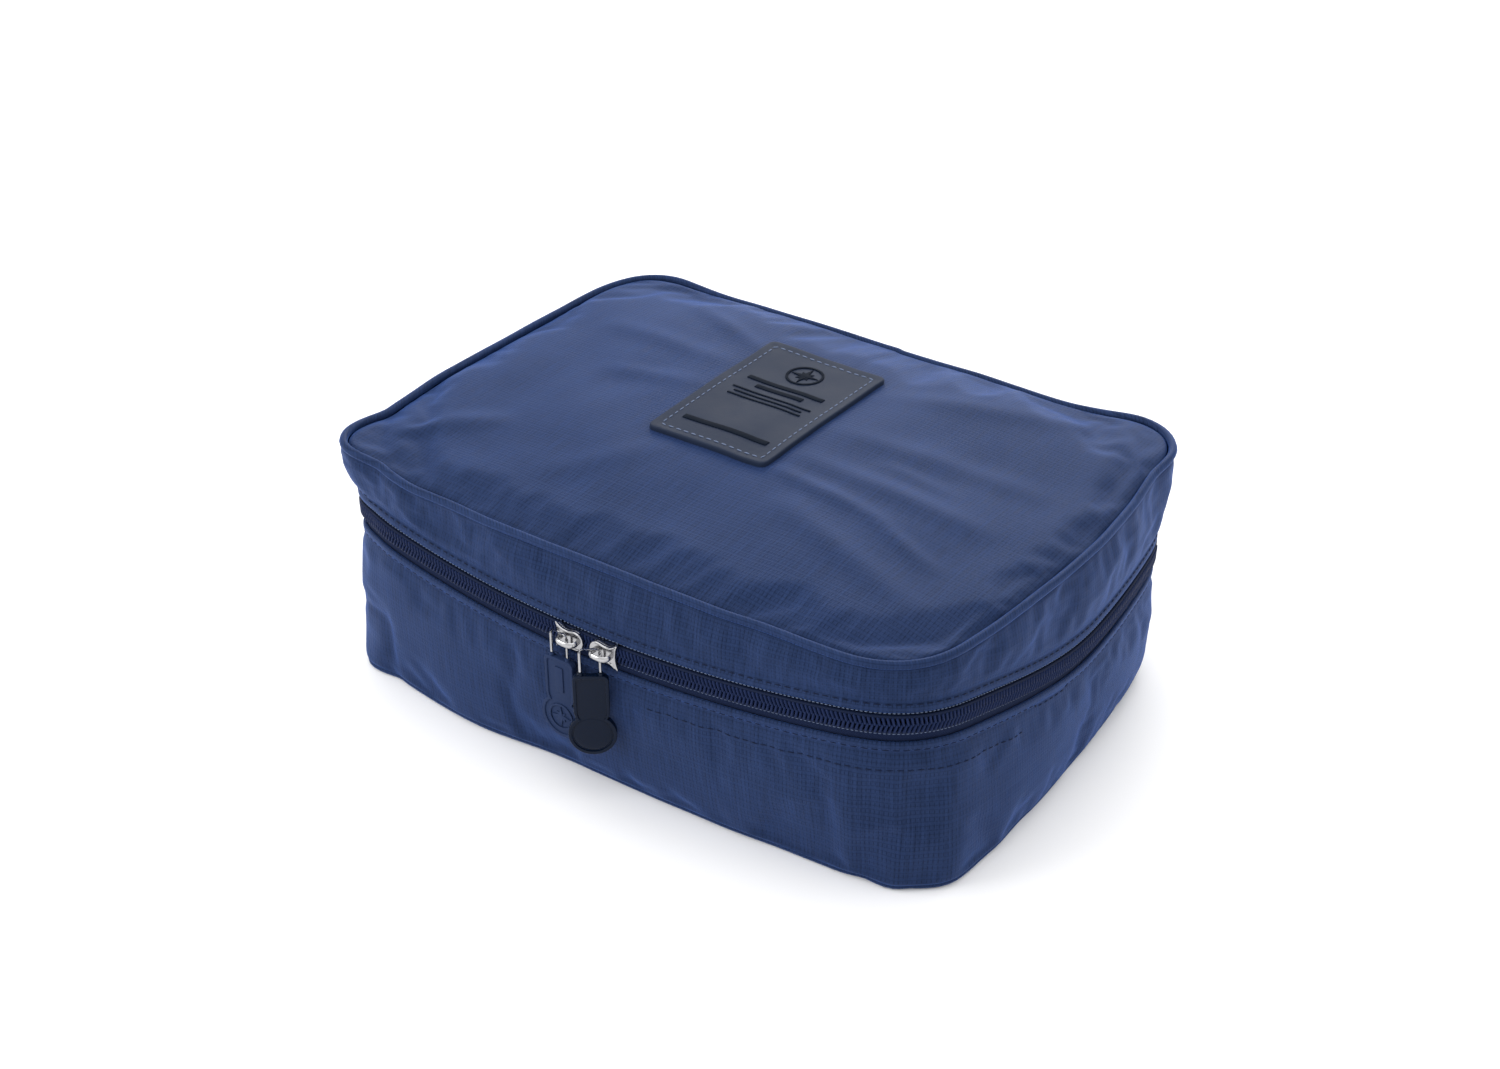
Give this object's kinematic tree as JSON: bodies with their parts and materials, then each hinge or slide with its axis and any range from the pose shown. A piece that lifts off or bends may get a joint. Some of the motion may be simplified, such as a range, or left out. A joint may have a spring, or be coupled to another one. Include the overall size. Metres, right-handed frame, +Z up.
{
  "type": "travel organizer case",
  "caption": "Soft box-shaped travel organizer in navy nylon with a hinged padded lid, zipped sides, metal zip sliders with rubber pulls, a stitched label, a divider and a mesh lid pocket.",
  "frame": {"origin": "middle of the whole part on the surface it stands on", "axes": "+X along the front to the right, -Y out of the front where the pulls hang, +Y to the hinged back, +Z up"},
  "size_m": [0.228, 0.176, 0.0885],
  "materials": {
    "outer_fabric": "ripstop nylon, soft sheen",
    "piping_fabric": "folded nylon over cord",
    "zip_tape": "woven tape",
    "zip_coil": "moulded nylon coil",
    "padding": "foam",
    "lining": "plain polyester lining",
    "mesh": "knitted mesh",
    "board": "thin stiffener board",
    "label": "moulded soft label with a stitched edge",
    "tab_rubber": "moulded soft rubber",
    "nickel": "bright nickel plate"
  },
  "bodies": {
    "base": {"base_panel": "outer_fabric", "base_board": "board", "base_piping": "piping_fabric", "base_band": "outer_fabric", "back_panel_lower": "outer_fabric", "base_padding": "padding", "base_lining": "lining", "base_zip_tape": "zip_tape", "base_zip_coil": "zip_coil", "zip_end_tab_left": "zip_tape", "zip_end_tab_right": "zip_tape", "divider": "lining"},
    "lid": {"lid_panel": "outer_fabric", "lid_padding": "padding", "lid_piping": "piping_fabric", "lid_band": "outer_fabric", "back_panel_upper": "outer_fabric", "lid_wall_padding": "padding", "lid_lining": "lining", "lid_zip_tape": "zip_tape", "lid_zip_coil": "zip_coil", "label_patch": "label", "pocket_mesh": "mesh", "pocket_binding": "piping_fabric", "pocket_tape_rear": "zip_tape", "pocket_tape_front": "zip_tape", "pocket_coil_rear": "zip_coil", "pocket_coil_front": "zip_coil"},
    "slider_left": {"slider_left": "nickel"},
    "slider_right": {"slider_right": "nickel"},
    "pull_left": {"pull_left_ring": "nickel", "pull_left_tab": "tab_rubber"},
    "pull_right": {"pull_right_ring": "nickel", "pull_right_tab": "tab_rubber"},
    "pocket_slider": {"pocket_slider": "nickel"},
    "pocket_pull": {"pocket_pull": "nickel"}
  },
  "joints": [
    {"name": "lid_hinge", "type": "hinge", "parent": "base", "child": "lid", "pos_m": [0, 0.08722, 0.0475], "axis": [-1, 0, 0], "range_deg": [0, 165]},
    {"name": "slider_left_travel", "type": "hinge", "parent": "base", "child": "slider_left", "pos_m": [0, 0.2501, 0.40104], "axis": [0, 0.7265, -0.6872], "range_deg": [0, 7.9]},
    {"name": "slider_right_travel", "type": "hinge", "parent": "base", "child": "slider_right", "pos_m": [0, 0.2501, 0.40104], "axis": [0, -0.7265, 0.6872], "range_deg": [0, 7.9]},
    {"name": "pull_left_swing", "type": "hinge", "parent": "slider_left", "child": "pull_left", "pos_m": [-0.0091, -0.07765, 0.05453], "axis": [0, 1, 0], "range_deg": [0, 90]},
    {"name": "pull_right_swing", "type": "hinge", "parent": "slider_right", "child": "pull_right", "pos_m": [0.0033, -0.07765, 0.05453], "axis": [0, -1, 0], "range_deg": [0, 30]},
    {"name": "pocket_slider_travel", "type": "slide", "parent": "lid", "child": "pocket_slider", "axis": [1, 0, 0], "range_m": [-0.022, 0.12]},
    {"name": "pocket_pull_swing", "type": "hinge", "parent": "pocket_slider", "child": "pocket_pull", "pos_m": [-0.05, -0.04133, 0.0669], "axis": [0, 1, 0], "range_deg": [-85, 85]}
  ]
}
